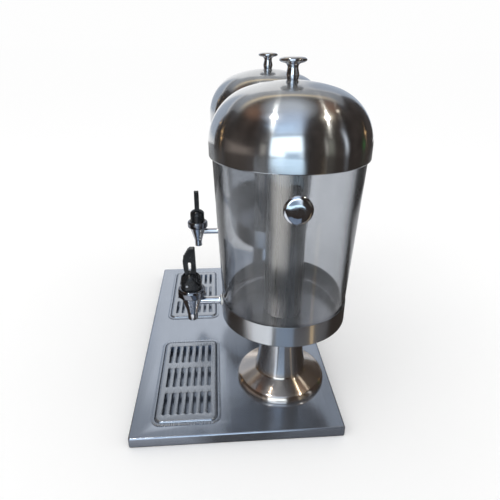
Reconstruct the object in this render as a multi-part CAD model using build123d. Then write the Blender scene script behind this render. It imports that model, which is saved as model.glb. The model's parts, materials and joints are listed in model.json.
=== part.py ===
from build123d import *
import math
import os

# Base, all sizes in millimetres
BASE_LENGTH = 580.0
BASE_DEPTH = 350.0
BASE_TOP = 19.0
BASE_SHEET = 1.5
BASE_CORNER = 4.0
BASE_FOLD = 3.0
SKIRT_LOW = 1.0
COVER_LOW = 4.0
COVER_SHEET = 1.2
COVER_GAP = 0.4
FOOT_RADIUS = 11.0
FOOT_INSET_X = 28.0
FOOT_INSET_Y = 27.0
POST_RADIUS = 6.0

# Places of the two heads
TANK_SPACING = 308.0
TANK_BEHIND_CENTRE = 85.0
TAP_REACH = 156.0
TRAY_BEFORE_CENTRE = 85.2

# Drip tray
TRAY_LENGTH = 226.5
TRAY_DEPTH = 116.0
TRAY_CORNER = 17.5
TRAY_FLANGE = 4.5
TRAY_SHEET = 0.8
TRAY_PLAY = 1.0
TRAY_FLOOR = 8.0
TRAY_LEDGE = 14.5
TRAY_LEDGE_WIDTH = 4.7
GRILLE_PLAY = 0.8
GRILLE_SHEET = 1.0
GRILLE_TOP = 21.5
GRILLE_ROLL = 4.5
SLOT_LENGTH = 52.5
SLOT_WIDTH = 6.0
SLOT_ROWS = 3
SLOT_COLUMNS = 7
SLOT_ROW_PITCH = 66.4
SLOT_COLUMN_PITCH = 12.55

# Pedestal and the steel pan at the tank's foot
PEDESTAL_SHEET = 1.5
PEDESTAL_FLANGE = 60.0
PEDESTAL_RIM = 80.0
PEDESTAL_RIM_TOP = 28.5
PEDESTAL_RIM_ROUND = 12.0
PEDESTAL_NECK = [(46.0, 45.5), (37.5, 84.0), (35.0, 159.0)]
PEDESTAL_NECK_CURVE = 350.0
PEDESTAL_BOLT_CIRCLE = 68.0
PEDESTAL_BOLTS = 4
PAN_RADIUS = 105.1
PAN_LOW = 159.0
PAN_TOP = 196.0
PAN_SHEET = 0.8
PAN_EDGE = 3.0
PAN_COLLAR_RADIUS = 33.0
PAN_COLLAR_DROP = 9.0

# Tank, ice tube and lid
TANK_WALL = 3.0
TANK_FLOOR = 164.0
TANK_TOP = 446.0
TANK_FOOT_RADIUS = 104.0
TANK_DRAFT = 0.0458
TUBE_RADIUS = 33.0
TUBE_WALL = 1.0
TUBE_TOP = 428.0
TUBE_BOTTOM_DISC = 176.0
TANK_BOSS_RADIUS = 31.5
TANK_BOSS_TOP = 166.0
PAN_BOLT_END = 165.0
LID_RADIUS = 119.5
LID_LIP_RADIUS = 116.5
LID_LOW = 434.5
LID_SKIRT_TOP = 453.0
LID_SHOULDER = 79.2
LID_CROWN = 214.0
LID_CURL = 2.4
LID_SHEET = 1.0
LID_RING_INNER = 110.5
LID_RING_HEIGHT = 3.5
SIDE_KNOB_HEIGHT = 396.0
SIDE_KNOB_FORWARD = 3.5
KNOB_HEIGHT = 30.4
KNOB_HEAD = 19.4

# Tap, heights above the table
SPOUT_LOW = 151.0
SPOUT_BORE = 5.3
SEAT_HEIGHT = 166.0
SEAT_RADIUS = 6.5
CHAMBER_RADIUS = 12.5
CONE_TOP = 195.0
TAP_NECK_RADIUS = 18.7
TAP_NECK_TOP = 206.0
SHANK_HEIGHT = 186.2
SHANK_RADIUS = 6.6
SHANK_BORE = 3.0
SHANK_FLANGE_RADIUS = 9.0
COLLAR_RADIUS = 23.0
COLLAR_LOW = 197.0
COLLAR_TOP = 213.0
HOOD_RADIUS = 17.3
HOOD_TOP = 240.0
HOOD_DOME = 14.0
HOOD_FLATS = 15.6
LEVER_THICKNESS = 10.0
LEVER_TOP = 285.0
LEVER_GAP = 0.3
LEVER_RIBS = 4
RIB_PITCH = 4.4
RIB_RADIUS = 1.2
PIVOT_FORWARD = 6.3
PIVOT_HEIGHT = 222.0
PIVOT_PIN_RADIUS = 2.0
LIFT_PIN_RADIUS = 1.5
LIFT_PIN_DROP = 20.0
STEM_RADIUS = 2.5
BLADE_THICKNESS = 3.0
SPRING_RADIUS = 4.6
SPRING_WIRE = 0.55
SPRING_LOW = 174.6
SPRING_TOP = 198.4
SPRING_PITCH = 4.0
SPRING_STEPS = 4
RIGHT_LEVER_TURN = 0.0
LEFT_LEVER_TURN = -90.0

# Small clearances and fasteners
HOLE_PLAY = 0.2
RUNNING_PLAY = 0.06
TURN_GAP = 0.3
M3 = 1.5
M4 = 2.0
M5 = 2.5
M6 = 3.0
HEX_OVER_RADIUS = 1.85
WASHER = 1.2

# The origin is at the middle of the whole object's footprint box
OVERALL_DEPTH = BASE_DEPTH / 2 + TANK_BEHIND_CENTRE + LID_RADIUS
BASE_Y = BASE_DEPTH / 2 - OVERALL_DEPTH / 2
TANK_Y = BASE_Y + TANK_BEHIND_CENTRE
TRAY_Y = BASE_Y - TRAY_BEFORE_CENTRE


def turned(points, radii=0):
    """Solid turned about Z from a closed outline of (radius, height) points."""
    outline = make_face(FilletPolyline(*points, radius=radii, close=True))
    return revolve(Plane.XZ * outline, Axis.Z)


def spun_sheet(path, wall):
    """Sheet turned about Z, where the path is its outer face and the wall lies on its left."""
    section = offset(path, amount=wall, side=Side.LEFT)
    return revolve(Plane.XZ * make_face(section), Axis.Z)


def rod(radius, low, high):
    """Upright cylinder between two heights."""
    return Pos(0, 0, low) * Cylinder(radius, high - low, align=(Align.CENTER, Align.CENTER, Align.MIN))


def ring(outer, inner, low, high):
    """Upright tube between two heights."""
    return rod(outer, low, high) - rod(inner, low, high)


def hex_prism(radius, low, high):
    """Upright hexagon bar between two heights."""
    return Pos(0, 0, low) * extrude(RegularPolygon(radius, 6), amount=high - low)


def slab(length, depth, corner, low, high):
    """Upright plate with rounded corners between two heights."""
    return Pos(0, 0, low) * extrude(RectangleRounded(length, depth, corner), amount=high - low)


def along_y(shape):
    """Turns a shape made along +Z so that it runs along +Y."""
    return Rot(-90, 0, 0) * shape


def group(shapes):
    """One node made of separate solids."""
    return Compound([solid for shape in shapes for solid in shape.solids()])


# Base

def foot_places():
    """Places of the feet: a row of three at the front and at the back."""
    across = BASE_LENGTH / 2 - FOOT_INSET_X
    deep = BASE_DEPTH / 2 - FOOT_INSET_Y
    return [Pos(x, BASE_Y + y, 0) for x in (-across, 0, across) for y in (-deep, deep)]


def pedestal_bolt_places():
    """Places of one pedestal's bolts about its axis."""
    step = 360 / PEDESTAL_BOLTS
    return [Rot(0, 0, step * (i + 0.5)) * Pos(PEDESTAL_BOLT_CIRCLE, 0, 0) for i in range(PEDESTAL_BOLTS)]


def head_places():
    """Places of the two tank axes."""
    return [Pos(x, TANK_Y, 0) for x in (-TANK_SPACING / 2, TANK_SPACING / 2)]


def tray_places():
    """Places of the two drip trays' centres."""
    return [Pos(x, TRAY_Y, 0) for x in (-TANK_SPACING / 2, TANK_SPACING / 2)]


def base_plate():
    """Folded top sheet with a skirt, two tray openings and the pedestal bolt holes."""
    block = slab(BASE_LENGTH, BASE_DEPTH, BASE_CORNER, SKIRT_LOW, BASE_TOP)
    block = fillet(block.edges().group_by(Axis.Z)[-1], BASE_FOLD)
    inner = slab(BASE_LENGTH - 2 * BASE_SHEET, BASE_DEPTH - 2 * BASE_SHEET, BASE_CORNER - BASE_SHEET,
                 SKIRT_LOW, BASE_TOP - BASE_SHEET)
    inner = fillet(inner.edges().group_by(Axis.Z)[-1], BASE_FOLD - BASE_SHEET)
    plate = Pos(0, BASE_Y, 0) * (block - inner)
    opening = well(-TRAY_PLAY, SKIRT_LOW, BASE_TOP)
    for place in tray_places():
        plate -= place * opening
    for head in head_places():
        for bolt in pedestal_bolt_places():
            plate -= head * bolt * rod(M5 + HOLE_PLAY, SKIRT_LOW, BASE_TOP)
    return plate


def base_cover():
    """Flat sheet that closes the base from below, inside the skirt."""
    inset = 2 * (BASE_SHEET + COVER_GAP)
    corner = BASE_CORNER - inset / 2
    cover = slab(BASE_LENGTH - inset, BASE_DEPTH - inset, corner, COVER_LOW, COVER_LOW + COVER_SHEET)
    cover = Pos(0, BASE_Y, 0) * cover
    for place in foot_places():
        cover -= place * rod(M4 + HOLE_PLAY, COVER_LOW, COVER_LOW + COVER_SHEET)
    return cover


FOOT_SCREW_SEAT = 3.0
FOOT_SCREW_END = 13.0
FOOT_SCREW_HEAD = 3.8
FOOT_RECESS = 4.4


def base_posts():
    """Threaded spacers between the cover and the top sheet, one over each foot."""
    low = COVER_LOW + COVER_SHEET
    post = rod(POST_RADIUS, low, BASE_TOP - BASE_SHEET) - rod(M4, low, FOOT_SCREW_END)
    return group(place * post for place in foot_places())


def base_feet():
    """Rubber feet with a recess for the screw's head."""
    foot = turned([(0, 0), (FOOT_RADIUS - 1.5, 0), (FOOT_RADIUS, COVER_LOW), (0, COVER_LOW)])
    foot -= rod(FOOT_RECESS, 0, FOOT_SCREW_SEAT)
    foot -= rod(M4 + HOLE_PLAY, 0, COVER_LOW)
    return group(place * foot for place in foot_places())


def foot_screws():
    """Screws through the feet and the cover into the posts."""
    screw = rod(FOOT_SCREW_HEAD, 1.0, FOOT_SCREW_SEAT) + rod(M4, FOOT_SCREW_SEAT, FOOT_SCREW_END)
    return group(place * screw for place in foot_places())


# Drip tray, made about the tray's own centre

WELL_LENGTH = TRAY_LENGTH - 2 * TRAY_FLANGE
WELL_DEPTH = TRAY_DEPTH - 2 * TRAY_FLANGE
WELL_CORNER = TRAY_CORNER - TRAY_FLANGE


def well(inset, low, high):
    """Block of the tray's well, drawn in on every side."""
    return slab(WELL_LENGTH - 2 * inset, WELL_DEPTH - 2 * inset, WELL_CORNER - inset, low, high)


def drip_pan():
    """Pressed pan that hangs in the base by its flange, with a ledge for the grille."""
    flange = slab(TRAY_LENGTH, TRAY_DEPTH, TRAY_CORNER, BASE_TOP, BASE_TOP + TRAY_SHEET)
    upper = well(0, TRAY_LEDGE, BASE_TOP + TRAY_SHEET)
    lower = well(TRAY_LEDGE_WIDTH, TRAY_FLOOR, TRAY_LEDGE)
    upper_hollow = well(TRAY_SHEET, TRAY_LEDGE + TRAY_SHEET, BASE_TOP + TRAY_SHEET)
    lower_hollow = well(TRAY_LEDGE_WIDTH + TRAY_SHEET, TRAY_FLOOR + TRAY_SHEET, TRAY_LEDGE + TRAY_SHEET)
    return flange + upper + lower - upper_hollow - lower_hollow


def grille():
    """Slotted plate with rolled edges that stands on the pan's ledge."""
    edge = TRAY_SHEET + GRILLE_PLAY
    low = TRAY_LEDGE + TRAY_SHEET
    plate = well(edge, low, GRILLE_TOP)
    plate = fillet(plate.edges().group_by(Axis.Z)[-1], GRILLE_ROLL)
    hollow = well(edge + GRILLE_SHEET, low, GRILLE_TOP - GRILLE_SHEET)
    plate -= fillet(hollow.edges().group_by(Axis.Z)[-1], GRILLE_ROLL - GRILLE_SHEET)
    slots = GridLocations(SLOT_ROW_PITCH, SLOT_COLUMN_PITCH, SLOT_ROWS, SLOT_COLUMNS) * SlotOverall(
        SLOT_LENGTH, SLOT_WIDTH)
    return plate - Pos(0, 0, low) * extrude(Sketch() + slots, amount=GRILLE_TOP)


# Pedestal and pan, made about the tank's axis

def pedestal():
    """Spun trumpet with a flange turned in at its foot."""
    path = FilletPolyline(
        (PEDESTAL_FLANGE, BASE_TOP), (PEDESTAL_RIM, BASE_TOP), (PEDESTAL_RIM, PEDESTAL_RIM_TOP),
        *PEDESTAL_NECK, radius=[2, PEDESTAL_RIM_ROUND, 5, PEDESTAL_NECK_CURVE])
    shell = spun_sheet(path, PEDESTAL_SHEET)
    for place in pedestal_bolt_places():
        shell -= place * rod(M5 + HOLE_PLAY, BASE_TOP, BASE_TOP + PEDESTAL_SHEET)
    return shell


def pedestal_bolts():
    """Bolts from under the top sheet, with nuts on the pedestal's flange."""
    head_top = BASE_TOP - BASE_SHEET
    nut_low = BASE_TOP + PEDESTAL_SHEET
    bolt = hex_prism(M5 * HEX_OVER_RADIUS, head_top - 3.5, head_top) + rod(M5, head_top, nut_low + 6)
    nut = hex_prism(M5 * HEX_OVER_RADIUS, nut_low, nut_low + 4) - rod(M5, nut_low, nut_low + 4)
    return group(place * piece for place in pedestal_bolt_places() for piece in (bolt, nut))


def shank_line(radius, start, end):
    """Rod along the tap's shank, measured from the tap's axis towards the tank."""
    return Pos(0, -TAP_REACH, SHANK_HEIGHT) * along_y(rod(radius, start, end))


def tank_pan():
    """Shallow steel pan round the tank's foot, with a hole for the tap."""
    path = FilletPolyline((M6 + HOLE_PLAY, PAN_LOW), (PAN_RADIUS, PAN_LOW), (PAN_RADIUS, PAN_TOP),
                          radius=PAN_EDGE)
    return spun_sheet(path, PAN_SHEET) - shank_line(SHANK_RADIUS + HOLE_PLAY, 0, TAP_REACH)


def pan_collar():
    """Ring under the pan that drops into the pedestal's neck."""
    return ring(PAN_COLLAR_RADIUS, PAN_COLLAR_RADIUS - 2, PAN_LOW - PAN_COLLAR_DROP, PAN_LOW)


def pan_bolt():
    """Bolt with a washer face from under the pan into the tank's boss."""
    head = hex_prism(M6 * HEX_OVER_RADIUS, PAN_LOW - 5.5, PAN_LOW - 1.5)
    return head + rod(9, PAN_LOW - 1.5, PAN_LOW) + rod(M6, PAN_LOW, PAN_BOLT_END)


# Tank, ice tube and lid

def tank_radius(height):
    """Outer radius of the tank's drafted wall."""
    return TANK_FOOT_RADIUS + TANK_DRAFT * (height - PAN_TOP)


TANK_LOW = PAN_LOW + PAN_SHEET
KNOB_WALL_RADIUS = tank_radius(SIDE_KNOB_HEIGHT)


def tank_hollow():
    """Space inside the tank's wall."""
    wall_low = tank_radius(TANK_FLOOR) - TANK_WALL
    wall_top = tank_radius(TANK_TOP) - TANK_WALL
    return turned([(0, TANK_FLOOR), (wall_low, TANK_FLOOR), (wall_top, TANK_TOP), (0, TANK_TOP)],
                  [0, 4, 0, 0])


def tank_block():
    """Outer shape of the tank."""
    return turned([(0, TANK_LOW), (tank_radius(TANK_LOW), TANK_LOW), (tank_radius(TANK_TOP), TANK_TOP),
                   (0, TANK_TOP)], [0, 6, 0, 0])


def on_side(shape):
    """The two copies of a shape made along +Z, pointing out of the tank wall at the side knobs."""
    turns = (-SIDE_KNOB_FORWARD, 180 + SIDE_KNOB_FORWARD)
    return [Rot(0, 0, turn) * Pos(0, 0, SIDE_KNOB_HEIGHT) * Rot(0, 90, 0) * shape for turn in turns]


def tank():
    """Clear moulded tank with a boss that centres the ice tube."""
    shell = tank_block() - tank_hollow() + rod(TANK_BOSS_RADIUS, TANK_FLOOR, TANK_BOSS_TOP)
    shell -= rod(M6, TANK_LOW, PAN_BOLT_END)
    shell -= shank_line(SHANK_RADIUS + HOLE_PLAY, 0, TAP_REACH / 2)
    screw_hole = rod(M3 + HOLE_PLAY, KNOB_WALL_RADIUS - 2 * TANK_WALL, KNOB_WALL_RADIUS + TANK_WALL)
    for hole in on_side(screw_hole):
        shell -= hole
    return shell


def ice_tube():
    """Steel tube for ice with a recessed bottom and a beaded rim."""
    tube = ring(TUBE_RADIUS, TUBE_RADIUS - TUBE_WALL, TANK_FLOOR, TUBE_TOP)
    bottom = rod(TUBE_RADIUS - TUBE_WALL / 2, TUBE_BOTTOM_DISC, TUBE_BOTTOM_DISC + TUBE_WALL)
    bead = turned([(TUBE_RADIUS - TUBE_WALL, TUBE_TOP - 3), (TUBE_RADIUS + 1.4, TUBE_TOP - 3),
                   (TUBE_RADIUS + 1.4, TUBE_TOP), (TUBE_RADIUS - TUBE_WALL, TUBE_TOP)], [0, 1.3, 1.3, 0])
    return tube + bottom + bead


def lid_crown_centre():
    """Height of the crown arc's centre, where the crown meets the shoulder arc smoothly."""
    offset_in = LID_RADIUS - LID_SHOULDER
    return LID_SKIRT_TOP - math.sqrt((LID_CROWN - LID_SHOULDER) ** 2 - offset_in ** 2)


LID_APEX = lid_crown_centre() + LID_CROWN


def lid():
    """Spun dome whose lower edge curls in round the tank's mouth."""
    skirt = FilletPolyline((LID_LIP_RADIUS, LID_LOW), (LID_RADIUS, LID_LOW), (LID_RADIUS, LID_SKIRT_TOP),
                           radius=LID_CURL)
    shoulder_in = LID_RADIUS - LID_SHOULDER
    meet = math.degrees(math.atan2(LID_SKIRT_TOP - lid_crown_centre(), shoulder_in))
    shoulder = CenterArc((shoulder_in, LID_SKIRT_TOP), LID_SHOULDER, 0, meet)
    hole = math.degrees(math.asin((M3 + HOLE_PLAY) / LID_CROWN))
    crown = CenterArc((0, lid_crown_centre()), LID_CROWN, meet, 90 - meet - hole)
    return spun_sheet(Wire([*skirt.edges(), *shoulder.edges(), *crown.edges()]), LID_SHEET)


def lid_ring():
    """Soft ring inside the lid that rests on the tank's rim."""
    return ring(LID_RADIUS - LID_SHEET - 0.1, LID_RING_INNER, TANK_TOP, TANK_TOP + LID_RING_HEIGHT)


def knob():
    """Turned knob along +Z: a bulged foot, a slim neck and a thick domed head."""
    profile = [(0, 0), (8.2, 0), (9.7, 6), (7.3, 17), (9.6, 21), (KNOB_HEAD - 3.2, 22.6), (KNOB_HEAD, 24.4),
               (KNOB_HEAD, 26.9), (KNOB_HEAD - 3.2, 28.9), (9.5, 30), (0, KNOB_HEIGHT)]
    radii = [0, 0.8, 7, 6.5, 4, 4, 1.4, 2, 6, 30, 0]
    return turned(profile, radii) - rod(M3, 0, 12)


def knob_screw(seat, grip):
    """Pan head screw along +Z: its head ends at the seat and its shank goes on by the grip."""
    return rod(2 * M3, seat - 2.5, seat) + rod(M3, seat, seat + grip)


def lid_knob():
    """Knob on top of the lid."""
    return Pos(0, 0, LID_APEX) * knob()


def lid_knob_screw():
    """Screw from inside the lid into its knob."""
    return knob_screw(LID_APEX - LID_SHEET - 0.1, 10 + LID_SHEET)


def side_knobs():
    """Knobs on the tank's two sides, to lift it by."""
    return group(on_side(Pos(0, 0, KNOB_WALL_RADIUS + WASHER) * knob()))


def side_knob_screws():
    """Screws from inside the tank into the side knobs."""
    seat = KNOB_WALL_RADIUS - TANK_WALL - WASHER
    return group(on_side(knob_screw(seat, TANK_WALL + 2 * WASHER + 10)))


# Tap, made about the tank's axis with the tap's axis in front of it

def at_tap(shape):
    """Moves a shape made about its own axis to the tap's axis."""
    return Pos(0, -TAP_REACH, 0) * shape


WALL_START = TAP_REACH - PAN_RADIUS
WALL_END = TAP_REACH - tank_radius(SHANK_HEIGHT) + TANK_WALL
NUT_LENGTH = 5.0
SHANK_WASHER = 1.8


def wall_washers():
    """Soft washers where the tap's shank and the knob screws pass the tank wall."""
    tap_outer = shank_line(SHANK_FLANGE_RADIUS, WALL_START - SHANK_WASHER, WALL_END)
    tap_outer -= rod(PAN_RADIUS, PAN_LOW, PAN_TOP)
    tap_inner = shank_line(SHANK_FLANGE_RADIUS, WALL_START, WALL_END + SHANK_WASHER) & tank_hollow()
    pieces = [washer - shank_line(SHANK_RADIUS, 0, TAP_REACH / 2) for washer in (tap_outer, tap_inner)]
    disc = ring(7, M3, KNOB_WALL_RADIUS - TANK_WALL - WASHER, KNOB_WALL_RADIUS + WASHER)
    for side in on_side(disc):
        pieces.append(side - tank_block())
        pieces.append(side & tank_hollow())
    return group(pieces)


def tap_nut():
    """Hexagon nut on the shank inside the tank."""
    start = WALL_END + SHANK_WASHER
    end = start + NUT_LENGTH
    nut = hex_prism(SHANK_RADIUS * 1.6, start, end) - rod(SHANK_RADIUS, start, end)
    return Pos(0, -TAP_REACH, SHANK_HEIGHT) * along_y(nut)


def tap_body():
    """Chrome body: a cone with a spout below, a chamber inside and the shank to the tank."""
    profile = [(0, SPOUT_LOW), (8.5, SPOUT_LOW), (8.8, 165), (18, CONE_TOP), (TAP_NECK_RADIUS, COLLAR_LOW),
               (TAP_NECK_RADIUS, TAP_NECK_TOP), (0, TAP_NECK_TOP)]
    outer = at_tap(turned(profile, [0, 0.8, 4, 0, 0, 0, 0]))
    chamber = at_tap(turned([(0, SPOUT_LOW), (SPOUT_BORE, SPOUT_LOW), (SPOUT_BORE, SEAT_HEIGHT),
                             (SEAT_RADIUS, SEAT_HEIGHT), (CHAMBER_RADIUS, CONE_TOP),
                             (CHAMBER_RADIUS, TAP_NECK_TOP), (0, TAP_NECK_TOP)]))
    shank_end = WALL_END + SHANK_WASHER + NUT_LENGTH + 2
    outer += shank_line(SHANK_RADIUS, 0, shank_end)
    outer += shank_line(SHANK_FLANGE_RADIUS, WALL_START - 2 * SHANK_WASHER, WALL_START - SHANK_WASHER)
    return outer - chamber - shank_line(SHANK_BORE, 0, shank_end)


def tap_collar():
    """Round nut that holds the hood on the body and lets it turn."""
    bore = TAP_NECK_RADIUS + HOLE_PLAY
    lip = HOOD_RADIUS + TURN_GAP
    lip_low = COLLAR_TOP - 3.5
    return at_tap(turned([(bore, COLLAR_LOW), (COLLAR_RADIUS, COLLAR_LOW), (COLLAR_RADIUS, COLLAR_TOP),
                          (lip, COLLAR_TOP), (lip, lip_low), (bore, lip_low)], [0, 3.8, 5.2, 0, 0, 0]))


def tap_gland():
    """Seal in the top of the body that the stem slides through."""
    return at_tap(ring(CHAMBER_RADIUS, STEM_RADIUS + RUNNING_PLAY, SPRING_TOP + 0.6, TAP_NECK_TOP - 0.2))


def helix_path(radius, pitch, height, steps_per_turn):
    """Helix about Z made of pairs of arcs that share their direction where they meet."""
    steps = math.ceil(steps_per_turn * height / pitch)
    turn = math.tau * height / pitch / steps
    rise = pitch / math.tau

    def place(step):
        angle = turn * step
        return Vector(radius * math.cos(angle), radius * math.sin(angle), rise * angle)

    def heading(step):
        angle = turn * step
        return Vector(-radius * math.sin(angle), radius * math.cos(angle), rise).normalized()

    edges = []
    for step in range(steps):
        start, end = place(step), place(step + 1)
        leave, arrive = heading(step), heading(step + 1)
        across, both = end - start, leave + arrive
        bend = 2 * (1 - leave.dot(arrive))
        along = across.dot(both)
        reach = (math.sqrt(along ** 2 + bend * across.dot(across)) - along) / bend
        meet = (start + leave * reach + end - arrive * reach) * 0.5
        first = Edge.make_tangent_arc(start, leave, meet)
        edges += [first, Edge.make_tangent_arc(meet, first % 1, end)]
    return Wire(edges)


def tap_spring():
    """Return spring round the stem, above the valve plug."""
    path = helix_path(SPRING_RADIUS, SPRING_PITCH, SPRING_TOP - SPRING_LOW - 2 * SPRING_WIRE, SPRING_STEPS)
    section = Plane(path @ 0, z_dir=path % 0) * Circle(SPRING_WIRE)
    return at_tap(Pos(0, 0, SPRING_LOW + SPRING_WIRE) * sweep(section, path))


def across_lever(radius, forward, height, half_length):
    """Pin across the lever, at a distance in front of the tap's axis."""
    bar = Cylinder(radius, 2 * half_length, rotation=(0, 90, 0))
    return Pos(0, -forward, height) * bar


LIFT_PIN_FORWARD = PIVOT_FORWARD - PIVOT_FORWARD * math.cos(math.radians(LIFT_PIN_DROP))
LIFT_PIN_HEIGHT = PIVOT_HEIGHT - PIVOT_FORWARD * math.sin(math.radians(LIFT_PIN_DROP))
HOOD_FLANGE_TOP = COLLAR_TOP - 3.5 - TURN_GAP


def tap_hood():
    """Black hood that turns in the collar, slotted at the front and top for the lever."""
    low = TAP_NECK_TOP + TURN_GAP
    flange = HOOD_RADIUS + 1.2
    dome = turned([(0, low), (flange, low), (flange, HOOD_FLANGE_TOP), (HOOD_RADIUS, HOOD_FLANGE_TOP),
                   (HOOD_RADIUS, HOOD_TOP), (0, HOOD_TOP)], [0, 0, 0, 0, HOOD_DOME, 0])
    reach = 2 * HOOD_RADIUS
    flat = Pos(0, 0, COLLAR_TOP + reach / 2) * Box(reach, 2 * reach, reach)
    for side in (-1, 1):
        dome -= Pos(side * (HOOD_FLATS + reach / 2), 0, 0) * flat
    slot_back = 11.0
    slot = Box(LEVER_THICKNESS + 2 * LEVER_GAP, slot_back + reach, reach,
               align=(Align.CENTER, Align.MAX, Align.MIN))
    dome -= Pos(0, slot_back, COLLAR_TOP) * slot
    dome -= rod(STEM_RADIUS + TURN_GAP, low, COLLAR_TOP)
    return dome - across_lever(PIVOT_PIN_RADIUS, PIVOT_FORWARD, PIVOT_HEIGHT, reach)


def tap_pivot_pin():
    """Pin through the hood's cheeks that the lever tilts on."""
    return across_lever(PIVOT_PIN_RADIUS, PIVOT_FORWARD, PIVOT_HEIGHT, HOOD_FLATS - 0.3)


def tap_lever():
    """Leaf shaped lever with a slot in its grip, ribs on its front and a fork at its foot."""
    leaf = [(-12.3, 216), (4.2, 215.6), (4.4, 229), (9.5, 239), (8.6, LEVER_TOP), (-0.5, LEVER_TOP),
            (-11.8, 266), (-11, 251), (-8.6, 237), (-12.3, 228)]
    outline = make_face(FilletPolyline(*leaf, radius=[5.5, 4, 2, 3, 3, 3.5, 5, 20, 3, 3], close=True))
    grip = [(-3.9, 261), (1.9, 261), (0.7, 241.5), (-2.7, 241.5)]
    outline -= make_face(FilletPolyline(*grip, radius=[2.6, 2.6, 1.4, 1.4], close=True))
    lever = extrude(Plane.YZ * outline, amount=LEVER_THICKNESS / 2, both=True)
    slope_y, slope_z = leaf[6][0] - leaf[5][0], leaf[6][1] - leaf[5][1]
    slope = math.hypot(slope_y, slope_z)
    for rib in range(LEVER_RIBS):
        along = (RIB_PITCH * (rib + 1)) / slope
        lever += across_lever(RIB_RADIUS, -leaf[5][0] - slope_y * along, leaf[5][1] + slope_z * along,
                              LEVER_THICKNESS / 2)
    fork = Pos(0, 0, 205) * Box(BLADE_THICKNESS + 2 * LEVER_GAP, 60, 49)
    lever -= fork
    lever -= across_lever(PIVOT_PIN_RADIUS + RUNNING_PLAY, PIVOT_FORWARD, PIVOT_HEIGHT, LEVER_THICKNESS)
    return lever - across_lever(LIFT_PIN_RADIUS, LIFT_PIN_FORWARD, LIFT_PIN_HEIGHT, LEVER_THICKNESS)


def tap_lift_pin():
    """Pin in the lever's fork that lifts the stem."""
    return across_lever(LIFT_PIN_RADIUS, LIFT_PIN_FORWARD, LIFT_PIN_HEIGHT, LEVER_THICKNESS / 2 - 0.2)


PLUG_TOP = 173.0
BLADE_LOW = COLLAR_TOP + 0.5


def tap_stem():
    """Valve stem with a spring seat below and a slotted blade for the lift pin at its top."""
    blade_top = LIFT_PIN_HEIGHT + 3.8
    blade = Pos(0, 0, BLADE_LOW) * Box(BLADE_THICKNESS, 7, blade_top - BLADE_LOW,
                                       align=(Align.CENTER, Align.CENTER, Align.MIN))
    slot = SlotOverall(4.0, 2 * (LIFT_PIN_RADIUS + 0.12))
    blade -= Pos(0, -LIFT_PIN_FORWARD / 2, LIFT_PIN_HEIGHT) * extrude(Plane.YZ * slot, amount=5, both=True)
    return rod(STEM_RADIUS, PLUG_TOP - 5, BLADE_LOW) + rod(6, PLUG_TOP, PLUG_TOP + 1.2) + blade


def tap_valve_plug():
    """Silicone plug on the stem that shuts the spout."""
    return rod(SEAT_RADIUS - TURN_GAP, SEAT_HEIGHT, PLUG_TOP) - rod(STEM_RADIUS, PLUG_TOP - 5, PLUG_TOP)


# Assembly

HEAD_PIECES = {
    "pedestal": pedestal, "pedestal_bolts": pedestal_bolts, "tank_pan": tank_pan, "pan_collar": pan_collar,
    "pan_bolt": pan_bolt, "tank": tank, "ice_tube": ice_tube, "lid": lid, "lid_ring": lid_ring,
    "lid_knob": lid_knob, "lid_knob_screw": lid_knob_screw, "side_knobs": side_knobs,
    "side_knob_screws": side_knob_screws, "wall_washers": wall_washers, "tap_nut": tap_nut,
    "tap_body": tap_body, "tap_collar": tap_collar, "tap_gland": tap_gland, "tap_spring": tap_spring,
}
TURNING_PIECES = {
    "tap_hood": tap_hood, "tap_pivot_pin": tap_pivot_pin, "tap_lever": tap_lever,
    "tap_lift_pin": tap_lift_pin, "tap_stem": tap_stem, "tap_valve_plug": tap_valve_plug,
}
TRAY_PIECES = {"drip_pan": drip_pan, "grille": grille}
BASE_PIECES = {
    "base_plate": base_plate, "base_cover": base_cover, "base_posts": base_posts, "base_feet": base_feet,
    "foot_screws": foot_screws,
}


def assemble():
    """Every node of the object, by name, in its place."""
    nodes = {name: make() for name, make in BASE_PIECES.items()}
    lever_turns = (LEFT_LEVER_TURN, RIGHT_LEVER_TURN)
    for side, head, tray, turn in zip(("left", "right"), head_places(), tray_places(), lever_turns):
        for name, make in HEAD_PIECES.items():
            nodes[f"{side}_{name}"] = head * make()
        for name, make in TURNING_PIECES.items():
            nodes[f"{side}_{name}"] = head * at_tap(Rot(0, 0, turn) * make())
        for name, make in TRAY_PIECES.items():
            nodes[f"{side}_{name}"] = tray * make()
    return nodes


os.makedirs("parts", exist_ok=True)
for node, shape in assemble().items():
    export_step(shape, f"parts/{node}.step")
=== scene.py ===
"""Dresses the juice dispenser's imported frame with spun, pressed and moulded pieces."""

import json
import math

import bmesh
import bpy
from bpy.props import FloatProperty, FloatVectorProperty, IntProperty, PointerProperty
from mathutils import Matrix, Vector

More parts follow.
